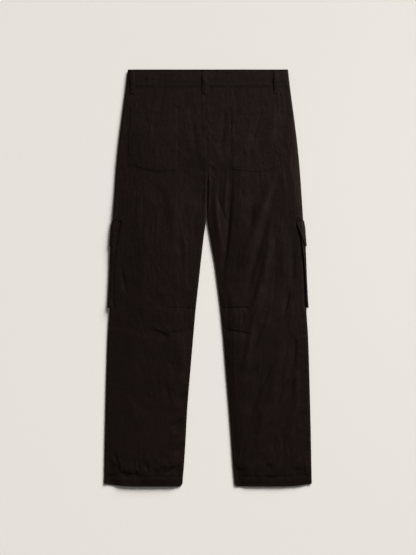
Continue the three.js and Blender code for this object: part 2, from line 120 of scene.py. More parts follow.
def bell(off, half):
    """exp(-(off / half)^2), which is 1 at 0."""
    return np.exp(-((off / half) ** 2))


def along(rows, column, y):
    """A cubic curve through a table's rows that never overshoots them: its slopes are harmonic means."""
    at, values = rows["y"], rows[column]
    steps = np.diff(at)
    secants = np.diff(values) / steps
    product = secants[:-1] * secants[1:]
    total = secants[:-1] + secants[1:]
    inner = np.where(product > 0, 2 * product / np.where(product > 0, total, 1), 0)
    slopes = np.concatenate([secants[:1], inner, secants[-1:]])
    k = np.clip(np.searchsorted(at, y, side="right") - 1, 0, len(steps) - 1)
    t = np.clip((y - at[k]) / steps[k], 0, 1)
    start = values[k] * (1 + 2 * t) * (1 - t) ** 2 + slopes[k] * steps[k] * t * (1 - t) ** 2
    end = values[k + 1] * t * t * (3 - 2 * t) + slopes[k + 1] * steps[k] * t * t * (t - 1)
    return start + end


def outer_edge(side, y):
    return SIDES[side] * along(OUTLINE, "outer", y)


def inner_edge(side, y):
    return along(OUTLINE, side, y) + SIDES[side] * SEAM_GAP / 2


# Where the layers underneath begin and end: in from the side seam for the cargo pocket, and up the leg
POCKET_END, LONG_POCKET_END = (176, 206), (150, 215)
POCKET_START, LONG_POCKET_START = (-140, -96), (-260, -60)
FLAP_START, LONG_FLAP_START = (20, 66), (-30, 90)
FLAP_END, LONG_FLAP_END = (158, 216), (140, 280)
WAIST_START = (230, 300)


def floor_of(side, x, y):
    """How far the front panel stands off the table: a layer where a cargo pocket, its flap or the waist is
    under it, with a slope at each end."""
    across = fade(*POCKET_END, np.abs(outer_edge(side, y) - x))
    cargo = (rise(*POCKET_START, y) + rise(*FLAP_START, y)) * fade(*FLAP_END, y)
    return LAYER * (across * cargo + rise(*WAIST_START, y))


def lift_of(side, x, y):
    """How far those layers lift the back panel: as floor_of, in longer slopes with no dip above the flap."""
    across = fade(*LONG_POCKET_END, np.abs(outer_edge(side, y) - x))
    first = np.maximum(across, rise(*WAIST_START, y)) * rise(*LONG_POCKET_START, y)
    return LAYER * (first + across * rise(*LONG_FLAP_START, y) * fade(*LONG_FLAP_END, y))


LATTICE = 256


def noise(u, v, seed):
    """Smooth noise from -1 to 1: random heights on a unit lattice, joined by 6t^5 - 15t^4 + 10t^3."""
    lattice = np.random.default_rng(seed).uniform(-1, 1, (LATTICE, LATTICE))
    i, j = np.floor(u).astype(int), np.floor(v).astype(int)
    s, t = [w**3 * (w * (6 * w - 15) + 10) for w in (u - i, v - j)]
    i, after = i % LATTICE, (i + 1) % LATTICE
    near, far = [mix(lattice[i, row % LATTICE], lattice[after, row % LATTICE], s) for row in (j, j + 1)]
    return mix(near, far, t)


# The crinkled finish: how far its lines bend, and the height of its pleats, its finer pleats and its puckers
BEND = 16
PLEAT, FINE_PLEAT, PUCKER = 0.62, 0.34, 0.3
CRINKLE_SEED = {"left": 5, "right": 47}


def crinkles(x, y, seed):
    """Height of the crinkled finish: sharp ridges 1 - |n| of a noise that is stretched along the leg and bent
    by a slower one, with finer ridges between them, stronger in some patches than in others."""
    bend = BEND * noise(x / 62, y / 85, seed)
    pleats = 1 - np.abs(noise((x + bend) / 12, y / 64, seed + 1))
    fine = 1 - np.abs(noise((x + 0.6 * bend) / 6, y / 24, seed + 2))
    puckers = noise((x + bend) / 15, (y + bend) / 19, seed + 3)
    patches = 0.65 + 0.45 * noise(x / 48, y / 66, seed + 4)
    return patches * (PLEAT * pleats + FINE_PLEAT * fine + PUCKER * puckers - PLEAT)


FOLD_FADE = 0.4


def fold_height(folds, x, y):
    """Sum of the folds: height * bell(off, half), faded over a share of the length at both ends. off is the
    distance from the bowed line: + to the right of a fold that runs down, and above one that runs across. A
    fold has its own half width on either side."""
    total = np.zeros_like(x)
    for fx, fy, tx, ty, bow, height, below, above in zip(*folds.values()):
        length = math.hypot(tx - fx, ty - fy)
        t = np.clip(((x - fx) * (tx - fx) + (y - fy) * (ty - fy)) / length**2, 0, 1)
        off = ((tx - fx) * (y - fy) - (ty - fy) * (x - fx)) / length - bow * 4 * t * (1 - t)
        half = np.where(off < 0, below, above)
        total += height * bell(off, half) * rise(0, FOLD_FADE, t) * rise(0, FOLD_FADE, 1 - t)
    return total


FOLD_COLUMNS = "from_x from_y to_x to_y bow height half_below half_above"
FOLDS = table(FOLD_COLUMNS, [
    # right leg, from the crotch and the seat down to the knee
    (18, 262, 37, 60, -5, 2.4, 9, 6), (62, 301, 32, -22, 6, -2.7, 11, 5),
    (184, 300, 86, -6, -4, 4.6, 17, 9), (166, 190, 92, -66, -3, -2.2, 9, 7),
    (164, 136, 96, -140, 8, 4.2, 10, 10), (116, 205, 106, 110, 0, -1.2, 9, 6),
    (222, 90, 212, -30, 4, -1.6, 12, 6), (190, 150, 188, -40, 3, 1.6, 10, 10),
    (210, -22, 192, -100, 0, -1.6, 9, 5),
    # right leg below the knee
    (118, -116, 90, -262, -3, 2.8, 8, 10), (196, -128, 150, -330, 4, 2.6, 15, 12),
    (226, -140, 208, -260, 3, -1.8, 12, 7), (150, -200, 92, -420, 0, -2.3, 14, 9),
    (232, -230, 205, -420, 4, 1.4, 12, 10), (142, -310, 128, -450, 4, 1.6, 10, 12),
    # left leg
    (-226, 44, -205, -56, 0, -0.9, 7, 6), (-64, -330, -78, -470, 0, 1.2, 14, 8),
    (-80, 130, -57, 0, 0, -1.1, 9, 6), (-100, 250, -86, 60, 3, 1.5, 11, 11),
    (-128, -20, -96, -66, 0, 0.7, 12, 12), (-66, -140, -62, -250, -3, 2.0, 14, 10),
    (-113, -250, -96, -330, 0, -1, 9, 7), (-160, 150, -176, -60, 5, 0.9, 16, 12),
    # seat, beside the centre seam
    (45, 450, 28, 300, 3, -1.0, 9, 6), (-40, 420, -30, 290, 0, -0.8, 9, 6),
    (176, 450, 150, 310, 0, 1.2, 14, 11), (68, -20, 76, -420, 0, 1.4, 20, 90),
    (-150, 60, -146, -130, 0, 0.9, 30, 40),
])
# Broad rises of the right seat, towards its edge and beside its pocket
SEAT_RISES = table(FOLD_COLUMNS, [(190, 440, 236, 40, 0, 1.1, 36, 14), (118, 470, 128, 130, 0, 1.3, 56, 110)])
# Sharper creases that are too fine for the panel's solid
CREASES = table(FOLD_COLUMNS, [
    # right seat and thigh
    (146, 452, 104, 292, -4, -0.78, 7, 3), (118, 332, 150, 334, 0, -0.3, 5, 2),
    (51, 290, 40, 152, 0, 0.9, 5, 4), (24, 212, 48, 140, 0, -0.9, 5, 2.5),
    (207, 310, 233, 130, 0, 0.6, 12, 6), (84, 300, 74, 190, 3, 0.48, 6, 4),
    (180, 300, 200, 190, 4, 0.54, 7, 5), (140, 150, 88, 20, 0, -0.9, 6, 2.5),
    (57, 226, 36, -24, 5, -0.96, 7, 2.5), (167, 120, 170, 56, 5, -0.72, 5, 2),
    (172, 60, 164, -94, 3, -0.48, 5, 2.5), (209, -26, 194, -98, 2, -1.14, 7, 2),
    (224, 80, 215, -24, 0, -0.54, 7, 3), (136, 60, 112, -40, -3, 0.72, 4, 5),
    (150, -10, 124, -96, 4, 0.72, 5, 3), (96, 120, 70, 20, 3, 0.54, 5, 4),
    (40, -19, 84, -8, 0, -0.54, 4, 2), (44, 6, 78, 10, 0, 0.18, 4, 4), (70, 60, 60, -10, 0, 0.48, 5, 5),
    (62, 200, 52, 60, 0, -0.48, 5, 2), (206, 120, 202, 20, 2, 0.48, 6, 4),
    # right knee and shin
    (51, -78, 51, -106, 0, -0.96, 4, 2), (89, -78, 88, -124, 2, -1.08, 4, 2),
    (70, -80, 68, -126, 0, 0.66, 6, 5), (142, -44, 96, -148, 2, 2.4, 5, 4),
    (160, -90, 122, -180, 2, 1.9, 6, 5), (112, -132, 104, -196, 0, 0.78, 4, 3),
    (224, -136, 216, -238, 2, -0.72, 6, 2.5), (134, -190, 118, -300, 3, 0.54, 6, 4),
    (214, -140, 200, -220, 2, 0.54, 6, 3), (46, -130, 60, -300, -3, -0.48, 4, 3),
    (64, -150, 74, -330, -2, 0.54, 4, 3), (264, -412, 224, -472, 2, -2.1, 7, 3.5),
    (142, -477, 170, -479, 0, -1.46, 16, 3), (64, -488, 100, -491, 0, -1.46, 16, 3),
    (206, -488, 252, -491, 0, -1.46, 16, 3), (144, -508, 180, -509, 0, -0.97, 14, 2.5),
    (249, -420, 250, -526, 0, 0.75, 3, 3), (190, -420, 176, -486, 2, 0.68, 5, 4),
    (96, -400, 84, -470, 2, -0.8, 5, 3),
    # left seat and thigh
    (-139, 344, -127, 297, 0, 0.6, 5, 3), (-162, 436, -120, 424, 0, 0.51, 4, 4),
    (-78, 152, -54, 18, 2, -0.54, 4, 2), (-66, 136, -58, -30, 2, 0.54, 4, 3),
    (-48, 128, -46, -24, -2, -0.42, 4, 2), (-224, 40, -206, -48, 0, -0.54, 8, 3),
    (-170, 230, -182, 90, -3, 0.48, 7, 6), (-120, 190, -132, 60, 3, -0.36, 5, 5),
    (-30, 230, -52, 110, 3, 0.54, 6, 4), (-7, 250, -17, 165, 0, -0.84, 6, 2.5),
    # left knee and shin
    (-156, -130, -90, -156, 3, -1.6, 26, 4), (-128, -144, -98, -153, 0, -0.9, 18, 4),
    (-60, -84, -64, -124, 0, -0.42, 3, 3), (-88, -84, -84, -130, 2, 0.42, 4, 4),
    (-164, -188, -154, -224, 0, -0.54, 5, 3), (-158, -290, -146, -312, 0, -0.78, 6, 3),
    (-96, -210, -90, -228, 0, -0.84, 6, 3), (-82, -312, -48, -294, 0, -1.5, 18, 3.5),
    (-102, -386, -60, -356, 0, -1.6, 18, 3.5), (-94, -450, -56, -414, 0, -1.8, 18, 3.5),
    (-118, -498, -64, -478, 0, -2.0, 18, 3.5), (-198, -300, -186, -390, 3, 0.42, 7, 6),
    (-258, -456, -230, -496, 0, -0.9, 8, 4), (-246, -466, -222, -500, 0, -0.8, 7, 3.5),
    (-248, -497, -156, -503, 0, -1.78, 16, 3), (-152, -488, -110, -500, 2, -0.97, 14, 3),
    (-196, -458, -200, -490, 0, -1.12, 7, 3), (-176, -456, -178, -494, 0, -0.9, 7, 3),
    (-162, -460, -158, -492, 0, -0.8, 7, 3), (-140, -440, -124, -484, 0, 0.6, 5, 5),
])
# Crumpled patches: their middle and reach, the way their short creases run (degrees from +X), the creases'
# length, half width and height, and how many there are
CRUMPLES = table("x y reach_x reach_y turn length half height count", [
    (180, -315, 64, 88, 61, 62, 3.8, 0.95, 34), (228, -300, 16, 90, 74, 50, 5, 0.9, 9),
    (192, -436, 24, 34, 84, 44, 4, 0.8, 6), (148, -446, 20, 32, 68, 38, 4, 0.7, 7),
    (98, -440, 30, 44, 80, 30, 4, 0.5, 9), (52, -240, 9, 100, 84, 52, 4, 0.6, 12),
    (130, -100, 52, 30, 70, 30, 5, 0.5, 10), (-82, -350, 26, 100, 44, 36, 3.5, 0.7, 16),
    (-74, -210, 20, 70, 64, 38, 5, 0.25, 9), (-236, -476, 20, 22, 118, 32, 4, 1.2, 7),
    (-172, -482, 22, 16, 92, 28, 3.5, 1.2, 8), (-88, -488, 28, 10, 30, 32, 4, 1.0, 5),
    (-165, -230, 44, 100, 82, 26, 5, 0.3, 12), (-30, 380, 66, 66, 80, 22, 6, 0.5, 22),
    (60, 360, 54, 76, 74, 24, 6, 0.45, 16), (130, 400, 70, 50, 60, 24, 6, 0.4, 12),
    (-40, 150, 26, 100, 80, 40, 5, 0.45, 11), (-130, 120, 64, 130, 84, 36, 5, 0.3, 14),
    (75, 130, 34, 100, 78, 36, 5, 0.4, 11), (140, 20, 80, 90, 66, 40, 5, 0.45, 18),
    (-150, -80, 60, 46, 96, 28, 5, 0.4, 10),
])
# Steps across and down from one short crease to the next, as shares of the patch, which never fall in rows
SPREAD = np.array([0.7549, 0.5698])
CREASE_SEED = 401


def scattered(patches, seed):
    """Short creases spread over each patch, as rows of a fold table, with two troughs to each ridge. The k-th
    lies at the fractions of k * SPREAD across and down. Its left side is longer than its right."""
    draw = np.random.default_rng(seed)
    parts = []
    for x, y, reach_x, reach_y, turn, length, half, height, count in zip(*patches.values()):
        size = int(count)
        at = (np.arange(size)[:, None] * SPREAD + draw.uniform(0, 1, 2)) % 1 * 2 - 1
        at_x, at_y = x + reach_x * at[:, 0], y + reach_y * at[:, 1]
        angle = np.radians(turn + draw.normal(0, 11, size))
        run = length / 2 * draw.uniform(0.6, 1.4, size)
        raised = height * draw.uniform(0.5, 1.2, size) * draw.choice([-1, -1, 0.7], size)
        width = half * draw.uniform(0.8, 1.3, size)
        parts.append(np.stack([
            at_x + run * np.cos(angle), at_y + run * np.sin(angle), at_x - run * np.cos(angle),
            at_y - run * np.sin(angle), draw.uniform(-3, 3, size), raised, width * 1.5, width * 0.8,
        ], axis=1))
    return table(FOLD_COLUMNS, np.concatenate(parts))


SHORT_CREASES = scattered(CRUMPLES, CREASE_SEED)
# Darts run in from the inseam: their level and slant from the inner edge, and their depth on each leg
DART_REACH = 74
DARTS = table("level slope left right", [(-76, 0.02, 0.45, 0.75), (-128, -0.2, 0.45, 0.72)])
# The back pockets' sides at the mouth and at the foot, and their mouth and foot from outer to inner side
BACK_POCKETS = {
    "left": {"outer": (-199, -204.5), "inner": (-77, -79)},
    "right": {"outer": (187, 191), "inner": (60, 61.5)},
}
POCKET_MOUTH = (441, 438, 436)
POCKET_FOOT = (299, 270, 282)


def in_pocket(side, x, y):
    """0 well outside the back pocket and 1 well inside it."""
    down = (POCKET_MOUTH[0] - y) / (POCKET_MOUTH[0] - POCKET_FOOT[2])
    outer, inner = [mix(*BACK_POCKETS[side][edge], down) for edge in ("outer", "inner")]
    from_sides = np.minimum(np.abs(x - outer), np.abs(x - inner))
    across = np.where((x - outer) * (x - inner) < 0, rise(0, 6, from_sides), 0)
    foot, mouth = POCKET_FOOT[1], POCKET_MOUTH[1]
    return across * rise(foot, foot + 8, y) * fade(mouth - 8, mouth, y)


def under_cargo(side, x, y):
    """1 where the cargo pocket's lip lies over the panel, fading to 0 further in."""
    from_edge = np.abs(outer_edge(side, y) - x)
    return fade(16, 30, from_edge) * rise(-100, -84, y) * fade(150, 166, y)


# How far the cargo pockets' and flaps' lips reach in over the back, how far they swell out past the seam, and
# the depth of the valley that they make in the leg, under the pocket and under the flap
CARGO = table("y left right swell", [
    (-76, 9, 2.2, 4.6), (-52, 6.5, 2.2, 3.5), (-25, 5.6, 2.4, 2.6), (5, 5.5, 2.6, 2), (36, 6.4, 3.6, 1.7),
    (66, 8, 5, 1.5), (97, 11, 8, 1.4), (133, 15, 13, 1),
])
FLAP = table("y left right swell", [
    (81, 1.6, 1.2, 2.6), (95, 5.5, 4, 2.1), (112, 10.5, 8.5, 1.6), (134.5, 16, 15, 1.2),
    (140, 17, 16.5, 1.1), (146, 17.5, 17, 1),
])
LIP_VALLEY = {"left": (1.2, 3.2), "right": (3.2, 3.2)}
# Height of each leg's middle, how far it falls to the outer and to the inner edge, and over what width
FALLS = table("y left_crown left_outer left_inner right_crown right_outer right_inner", [
    (-532, 6.6, 3.0, -0.4, 7.6, 1.0, 4.8), (-400, 6.6, 3.0, -0.4, 7.6, 1.0, 4.8),
    (-300, 6.6, 3.0, 1.6, 7.6, 1.0, 4.8), (-200, 6.6, 3.0, 3.2, 7.5, 1.0, 4.7),
    (-100, 6.6, 2.9, 2.0, 6.9, 1.0, 4.1), (0, 6.6, 2.6, 0.8, 6.6, 1.0, 3.9),
    (150, 6.6, 2.3, 0.4, 6.3, -0.6, 3.9), (300, 6.6, 2.3, 0.4, 5.3, -0.9, 3.9),
    (532, 6.6, 2.3, 0.4, 4.4, -0.9, 3.9),
])
FALL_REACH = {"left": 84, "right": 44}
HEM_LIFT = {"left": 4.0, "right": 1.2}
FOLD_SHARE = 0.85
# Where the folds fade and the crown eases to the band's height
BAND_EASE = 466
# The least height of the upper face over the front panel, at the hem and above it
LEAST_HEIGHT = (1.9, 2.5)


def edge_distances(side, x, y):
    """How far x lies in from the side seam and from the inner edge."""
    return np.abs(outer_edge(side, y) - x), np.abs(x - inner_edge(side, y))


def soft_floor(height, least, soft):
    """The greater of two heights with a soft corner: least + (d + sqrt(d^2 + soft)) / 2."""
    above = height - least
    return least + (above + np.sqrt(above**2 + soft)) / 2


def smooth_back(side, x, y):
    """The panel's upper face without crinkles: a crown that falls to both edges, slow swells and folds."""
    from_outer, from_inner = edge_distances(side, x, y)
    leg_open = fade(30, 210, y)
    below_band = fade(400, BAND_EASE, y)
    crown, outer, inner = [along(FALLS, f"{side}_{part}", y) for part in ("crown", "outer", "inner")]
    fall = outer * fade(0, FALL_REACH[side], from_outer)
    fall = fall + inner * (1 - np.clip(from_inner / FALL_REACH[side], 0, 1)) ** 2 * leg_open
    swells = 0.9 * noise(x / 70, y / 95, 301) + 0.45 * noise((x + y) / 44, (y - x) / 60, 303)
    lifted = HEM_LIFT[side] * rise(-280, -490, y) * rise(0, 44, from_outer) * rise(0, 34, from_inner)
    height = crown - fall + swells * rise(10, 50, from_outer) + lifted
    height = mix(height, MIDDLE_HEIGHT, rise(320, BAND_EASE, y))
    folds = FOLD_SHARE * fold_height(FOLDS, x, y) * rise(18, 34, from_outer) * below_band
    folds = folds + fold_height(SEAT_RISES, x, y) * rise(0, 12, from_outer) * below_band
    return lift_of(side, x, y) + soft_floor(height + folds, MIDDLE_HEIGHT - DEEPEST_TROUGH, 0.25)


def darts(side, x, y):
    """Depth of the stitched darts, with puckers across them."""
    inward = np.abs(x - inner_edge(side, y))
    reach = fade(DART_REACH - 8, DART_REACH + 4, inward)
    total = np.zeros_like(x)
    for level, slope, depth in zip(DARTS["level"], DARTS["slope"], DARTS[side]):
        off = y - level - slope * inward
        pucker = 0.35 * noise(inward / 7, np.full_like(off, level), 31) * bell(off, 11)
        total += reach * (depth * bell(off, np.where(off > 0, 1.5, 10)) - pucker)
    return total


# The felled centre seam, the two rows of stitches over the turned-up hem, how far the puckers above them
# reach, and how far the hem falls to the table
FELL = 9
HEM_ROWS = (0, -15)
HEM_PUCKER = 30
HEM_FALL = 7.8
HEM_SEED = {"left": 75, "right": 79}
# A rolled bead at an edge of each leg: which edge, its height, and the levels where it starts and ends
BEADS = {"left": ("outer", 0.6, (20, 120), (330, 420)), "right": ("inner", 1.3, (120, 190), (270, 310))}
BEAD_HALF = 6
# How far a lip's valley runs on past the lip
VALLEY_EASE = {"left": 9, "right": 6}


def seam_relief(side, x, y):
    """Relief along the seams: the felled centre seam's groove, step and puckers, the side seam's puckers,
    and a bead at one edge."""
    from_outer, from_inner = edge_distances(side, x, y)
    at_seat = rise(CROTCH - 70, CROTCH - 20, y)
    groove = -0.25 * bell(from_inner, 1.8) * at_seat
    fell = 0.15 * fade(FELL - 1.5, FELL + 1.5, from_inner) * at_seat
    edge, height, start, end = BEADS[side]
    from_edge = from_outer if edge == "outer" else from_inner
    bead = height * bell(from_edge, BEAD_HALF) * rise(*start, y) * fade(*end, y)
    beside_fell = bell(from_inner - FELL, 9) * at_seat
    seam_puckers = 0.4 * noise((y + 0.7 * from_inner) / 9, from_inner / 14, 71) * beside_fell
    side_puckers = 0.5 * noise(y / 8, from_outer / 40, 73) * np.exp(-from_outer / 16) * (1 - at_seat * 0.3)
    return groove + fell + bead + seam_puckers + side_puckers


def hem_relief(side, x, y):
    """The turned-up hem: one layer more, a channel at each row of stitches, the fall to the table, and
    puckers that fade with exp(-|distance| / reach)."""
    above_hem = y - HEM_STITCH
    hem = HEM_PROUD * fade(-16, 0, above_hem)
    for stitching in HEM_ROWS:
        off = above_hem - stitching
        hem = hem - 0.25 * bell(off, np.where(off > 0, 1.5, 6))
    hem = hem - HEM_FALL * rise(-474, -566, y)
    pull = 0.35 * noise((x + 0.2 * above_hem) / 8, above_hem / 40, HEM_SEED[side])
    return hem + pull * np.exp(-np.abs(above_hem) / HEM_PUCKER) * rise(-HALF_LENGTH, -515, y)


def lip_valley(side, x, y):
    """The valley under the cargo pocket's and the flap's lip."""
    from_outer = edge_distances(side, x, y)[0]
    lip = np.maximum(along(CARGO, side, y), np.where(y > FLAP["y"][0], along(FLAP, side, y), 0))
    across = fade(lip - 1, lip + VALLEY_EASE[side], from_outer)
    depth = mix(*LIP_VALLEY[side], rise(56, 90, y))
    return -depth * across * rise(-84, -66, y) * fade(140, 148, y)


def back_height(side, x, y):
    """The panel's upper face as it shows: the smooth form with creases, crinkles, darts, the relief of seams
    and hem, and the valley under the lips, all kept above the front panel."""
    from_outer, from_inner = edge_distances(side, x, y)
    hidden = np.maximum(in_pocket(side, x, y), under_cargo(side, x, y))
    creases = fold_height(CREASES, x, y) + fold_height(SHORT_CREASES, x, y)
    creases = creases * rise(1, 9, from_outer) * fade(440, 480, y) * (1 - 0.5 * hidden)
    fine = crinkles(x, y, CRINKLE_SEED[side]) * (1 - 0.85 * hidden) * mix(0.72, 0.66, rise(200, 320, y))
    relief = lip_valley(side, x, y) + creases + fine + seam_relief(side, x, y) + hem_relief(side, x, y)
    least = floor_of(side, x, y) + mix(*LEAST_HEIGHT, rise(-528, -470, y))
    least = least + fade(2, 13, np.minimum(from_outer, from_inner))
    return soft_floor(smooth_back(side, x, y) + relief - darts(side, x, y), least, 0.1)


HEM_CORNER = 10
HEM_DIP, DIP_SHARE = 7, 0.4


def hem_rise(share, y, from_inner):
    """Both hems rise to the side seam, as dip * (1 - share / reach)^2, and round the inner corner."""
    into = np.clip(HEM_CORNER - from_inner, 0, HEM_CORNER)
    corner = HEM_CORNER - np.sqrt(HEM_CORNER**2 - into**2)
    return (HEM_DIP * np.clip(1 - share / DIP_SHARE, 0, 1) ** 2 + corner) * rise(-470, -HALF_LENGTH, y)


def points_at(x, y, z):
    """Points from x, y and z, each an array or a number, with the three along the last axis."""
    return np.stack(np.broadcast_arrays(x, y, z), axis=-1).astype(float)


def rolled_stations(side, y, roll_steps, flat_steps):
    """x, angle round the edge and share across for every row y: a quarter circle of radius ROLL at both edges
    and even steps between them. The angle is 90 degrees on the flat."""
    angle = np.linspace(0, math.pi / 2, roll_steps)
    flat = np.linspace(0, 1, flat_steps + 2)[1:-1]
    sign = SIDES[side]
    outer, inner = outer_edge(side, y)[:, None], inner_edge(side, y)[:, None]
    rolled_out = outer - sign * ROLL * (1 - np.cos(angle))
    rolled_in = (inner + sign * ROLL * (1 - np.cos(angle)))[:, ::-1]
    between = mix(outer - sign * ROLL, inner + sign * ROLL, flat)
    x = np.concatenate([rolled_out, between, rolled_in], axis=1)
    angles = np.concatenate([angle, np.full(flat_steps, math.pi / 2), angle[::-1]])
    return x, np.broadcast_to(angles, x.shape), (x - outer) / (inner - outer)


def cloth_wall(name, face, thick, facing):
    """A closed wall: the grid of points is its outer face, the same grid moved in by thick along its normals
    is its inner face, and a rim joins them. The UV map holds lengths along the cloth."""
    rows, columns = face.shape[:2]
    normal = np.cross(np.gradient(face, axis=1), np.gradient(face, axis=0))
    normal /= np.linalg.norm(normal, axis=2, keepdims=True) + 1e-12
    normal *= np.sign((normal @ np.array(facing, float)).sum())
    points = np.concatenate([face.reshape(-1, 3), (face - normal * thick).reshape(-1, 3)])
    grid = np.arange(rows * columns).reshape(rows, columns)

    def quads(*corners):
        return np.stack([corner.ravel() for corner in corners], axis=1)

    top = quads(grid[:-1, :-1], grid[:-1, 1:], grid[1:, 1:], grid[1:, :-1])
    edge = np.concatenate([grid[0, :-1], grid[:-1, -1], grid[-1, :0:-1], grid[:0:-1, 0]])
    after = np.roll(edge, -1)
    rim = quads(after, edge, edge + grid.size, after + grid.size)
    faces = np.concatenate([top, top[:, ::-1] + grid.size, rim])
    a, b, c, d = [points[faces[:, k]] for k in range(4)]
    volume = (a * np.cross(b, c)).sum() + (a * np.cross(c, d)).sum()
    if volume < 0:
        faces = faces[:, ::-1]
    across = np.linalg.norm(np.diff(face, axis=1), axis=2).cumsum(axis=1).mean(axis=0)
    down = np.linalg.norm(np.diff(face, axis=0), axis=2).cumsum(axis=0).mean(axis=1)
    u, v = np.meshgrid(np.append(0, across), np.append(0, down))
    return fill_mesh(name, points, faces, np.tile(np.stack([u.ravel(), -v.ravel()], axis=1), (2, 1)))


def fill_mesh(name, points, faces, uv):
    """An object at the origin whose mesh has these points and UV places, in metres from millimetres."""
    mesh = bpy.data.meshes.new(name)
    mesh.from_pydata((points * MM).tolist(), [], faces.tolist())
    mesh.polygons.foreach_set("use_smooth", np.ones(len(faces), bool))
    mesh.set_sharp_from_angle(angle=math.radians(65))
    layer = mesh.uv_layers.new(name="cloth")
    layer.data.foreach_set("uv", (uv[faces.ravel()] * MM).ravel())
    mesh.update()
    return add_object(name, mesh)


def linear(hex_colour, alpha=1.0):
    """An sRGB hex colour as the linear values that a shader takes."""
    parts = [int(hex_colour[i:i + 2], 16) / 255 for i in (1, 3, 5)]
    return (*[p / 12.92 if p <= 0.04045 else ((p + 0.055) / 1.055) ** 2.4 for p in parts], alpha)


def add_node(material, kind, links=(), **settings):
    """A shader node, where a setting with an underscore in front is an attribute and any other is a socket.
    links pairs a socket with the output that feeds it."""
    node = material.node_tree.nodes.new("ShaderNode" + kind)
    for key, value in settings.items():
        if key.startswith("_"):
            setattr(node, key[1:], value)
        else:
            node.inputs[key.replace("_", " ")].default_value = value
    for socket, output in links:
        material.node_tree.links.new(output, node.inputs[socket])
    return node


def new_material(name, **surface):
    """A material with an empty Principled surface, and that surface."""
    material = bpy.data.materials.new(name)
    material.use_nodes = True
    material.node_tree.nodes.clear()
    shader = add_node(material, "BsdfPrincipled")
    for socket, value in surface.items():
        shader.inputs[socket.replace("_", " ")].default_value = value
    add_node(material, "OutputMaterial", [("Surface", shader.outputs["BSDF"])])
    return material, shader


# Nylon taffeta, piece-dyed black and crinkled in the wash: nearly black with a brown cast, a satin shine that
# only the tilted side of a crinkle catches, and a faint fuzz of light at low angles. Threads are 0.2 mm
# apart, too fine to show, so the weave is drawn at 0.7 mm. A wave of scale 1 repeats every WAVE.
WAVE = 0.314
WEAVE = 0.7
CRINKLE = 3.4
CRINKLE_STRETCH = 0.4
DYE = 45
nylon, surface = new_material(
    "crinkled_nylon_taffeta", Specular_IOR_Level=0.12, Sheen_Weight=0.005, Sheen_Roughness=0.45,
    Specular_Tint=(1, 0.75, 0.68, 1),
)
cloth_place = add_node(nylon, "UVMap", _uv_map="cloth").outputs["UV"]
stretched = add_node(nylon, "Mapping", [("Vector", cloth_place)], Scale=(1, CRINKLE_STRETCH, 1))
wrinkle = add_node(
    nylon, "TexNoise", [("Vector", stretched.outputs["Vector"])],
    Scale=1 / (CRINKLE * MM), Detail=3.0, Roughness=0.55, Distortion=0.6,
)
centred = add_node(nylon, "Math", [(0, wrinkle.outputs["Fac"])], _operation="SUBTRACT")
centred.inputs[1].default_value = 0.5
creased = add_node(nylon, "Math", [(0, centred.outputs[0])], _operation="ABSOLUTE")
thread_scale = WAVE / (WEAVE * MM)
warp, weft = [
    add_node(nylon, "TexWave", [("Vector", cloth_place)], _bands_direction=way, Scale=thread_scale)
    for way in ("X", "Y")
]
weave = add_node(nylon, "Math", [(0, warp.outputs["Fac"]), (1, weft.outputs["Fac"])], _operation="MULTIPLY")
crease_bump = add_node(
    nylon, "Bump", [("Height", creased.outputs[0])], _invert=True, Strength=1.0, Distance=1.3 * MM
)
weave_bump = add_node(
    nylon, "Bump", [("Height", weave.outputs[0]), ("Normal", crease_bump.outputs["Normal"])],
    Strength=0.5, Distance=0.06 * MM,
)
dye = add_node(nylon, "TexNoise", [("Vector", cloth_place)], Scale=1 / (DYE * MM), Detail=4.0)
colour = add_node(nylon, "Mix", [("Factor", dye.outputs["Fac"])], _data_type="RGBA")
colour.inputs["A"].default_value = linear("#120c0a")
colour.inputs["B"].default_value = linear("#160f0d")
shine = add_node(nylon, "MapRange", [("Value", wrinkle.outputs["Fac"])])
shine.inputs["To Min"].default_value = 0.42
shine.inputs["To Max"].default_value = 0.58
for socket, output in (
    ("Base Color", colour.outputs["Result"]), ("Roughness", shine.outputs["Result"]),
    ("Normal", weave_bump.outputs["Normal"]),
):
    nylon.node_tree.links.new(output, surface.inputs[socket])


def finish_cloth(piece, node):
    """Gives a piece of cloth its nylon and its place on the body, and hides the model's part that it
    replaces.
    """
    piece.data.materials.append(nylon)
    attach(piece, "root")
    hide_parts(node)


def leg_face(side, rows, roll_steps, columns, height, seam_height):
    """Grid of a leg panel's outer face: height on the flat and mix(seam, height, sin(angle)) round both
    edges, but flat to the centre seam above the crotch."""
    x, angle, share = rolled_stations(side, rows, roll_steps, columns)
    y = np.repeat(rows[:, None], x.shape[1], axis=1)
    flat = height(side, x, y)
    rolled = mix(floor_of(side, x, y) + seam_height, flat, np.sin(angle))
    leg_open = np.where(share > 0.5, fade(CROTCH - CROTCH_EASE, CROTCH, y), 1)
    return points_at(x, y + hem_rise(share, y, np.abs(x - inner_edge(side, y))), mix(flat, rolled, leg_open))


BACK_COLUMNS = 112
# Rows are even, with more at the darts and at the hem's stitches
even_rows = np.linspace(-HALF_LENGTH, WAISTBAND_FOOT - SEAM_GAP, 300)
fine_rows = [np.arange(-66, -86, -1.2), np.arange(-120, -158, -1.5), np.arange(-498, -514, -1.2)]
back_rows = np.unique(np.concatenate([even_rows, *fine_rows]))[::-1]
for side in SIDES:
    face = leg_face(side, back_rows, 6, BACK_COLUMNS, back_height, SEAM_HEIGHT)
    piece = cloth_wall(f"back_leg_{side}", face, CLOTH, (0, 0, 1))
    finish_cloth(piece, f"back_panel_{side}")

# The front legs
# The hidden front panels lie under the back ones, flat on the table. Their outer face is turned down, and
# their creases rise from the table, so nothing sinks into it.
FRONT_COLUMNS = 56
FRONT_SEED = {"left": 91, "right": 123}
front_rows = np.linspace(WAISTBAND_FOOT - SEAM_GAP, -HALF_LENGTH, 190)


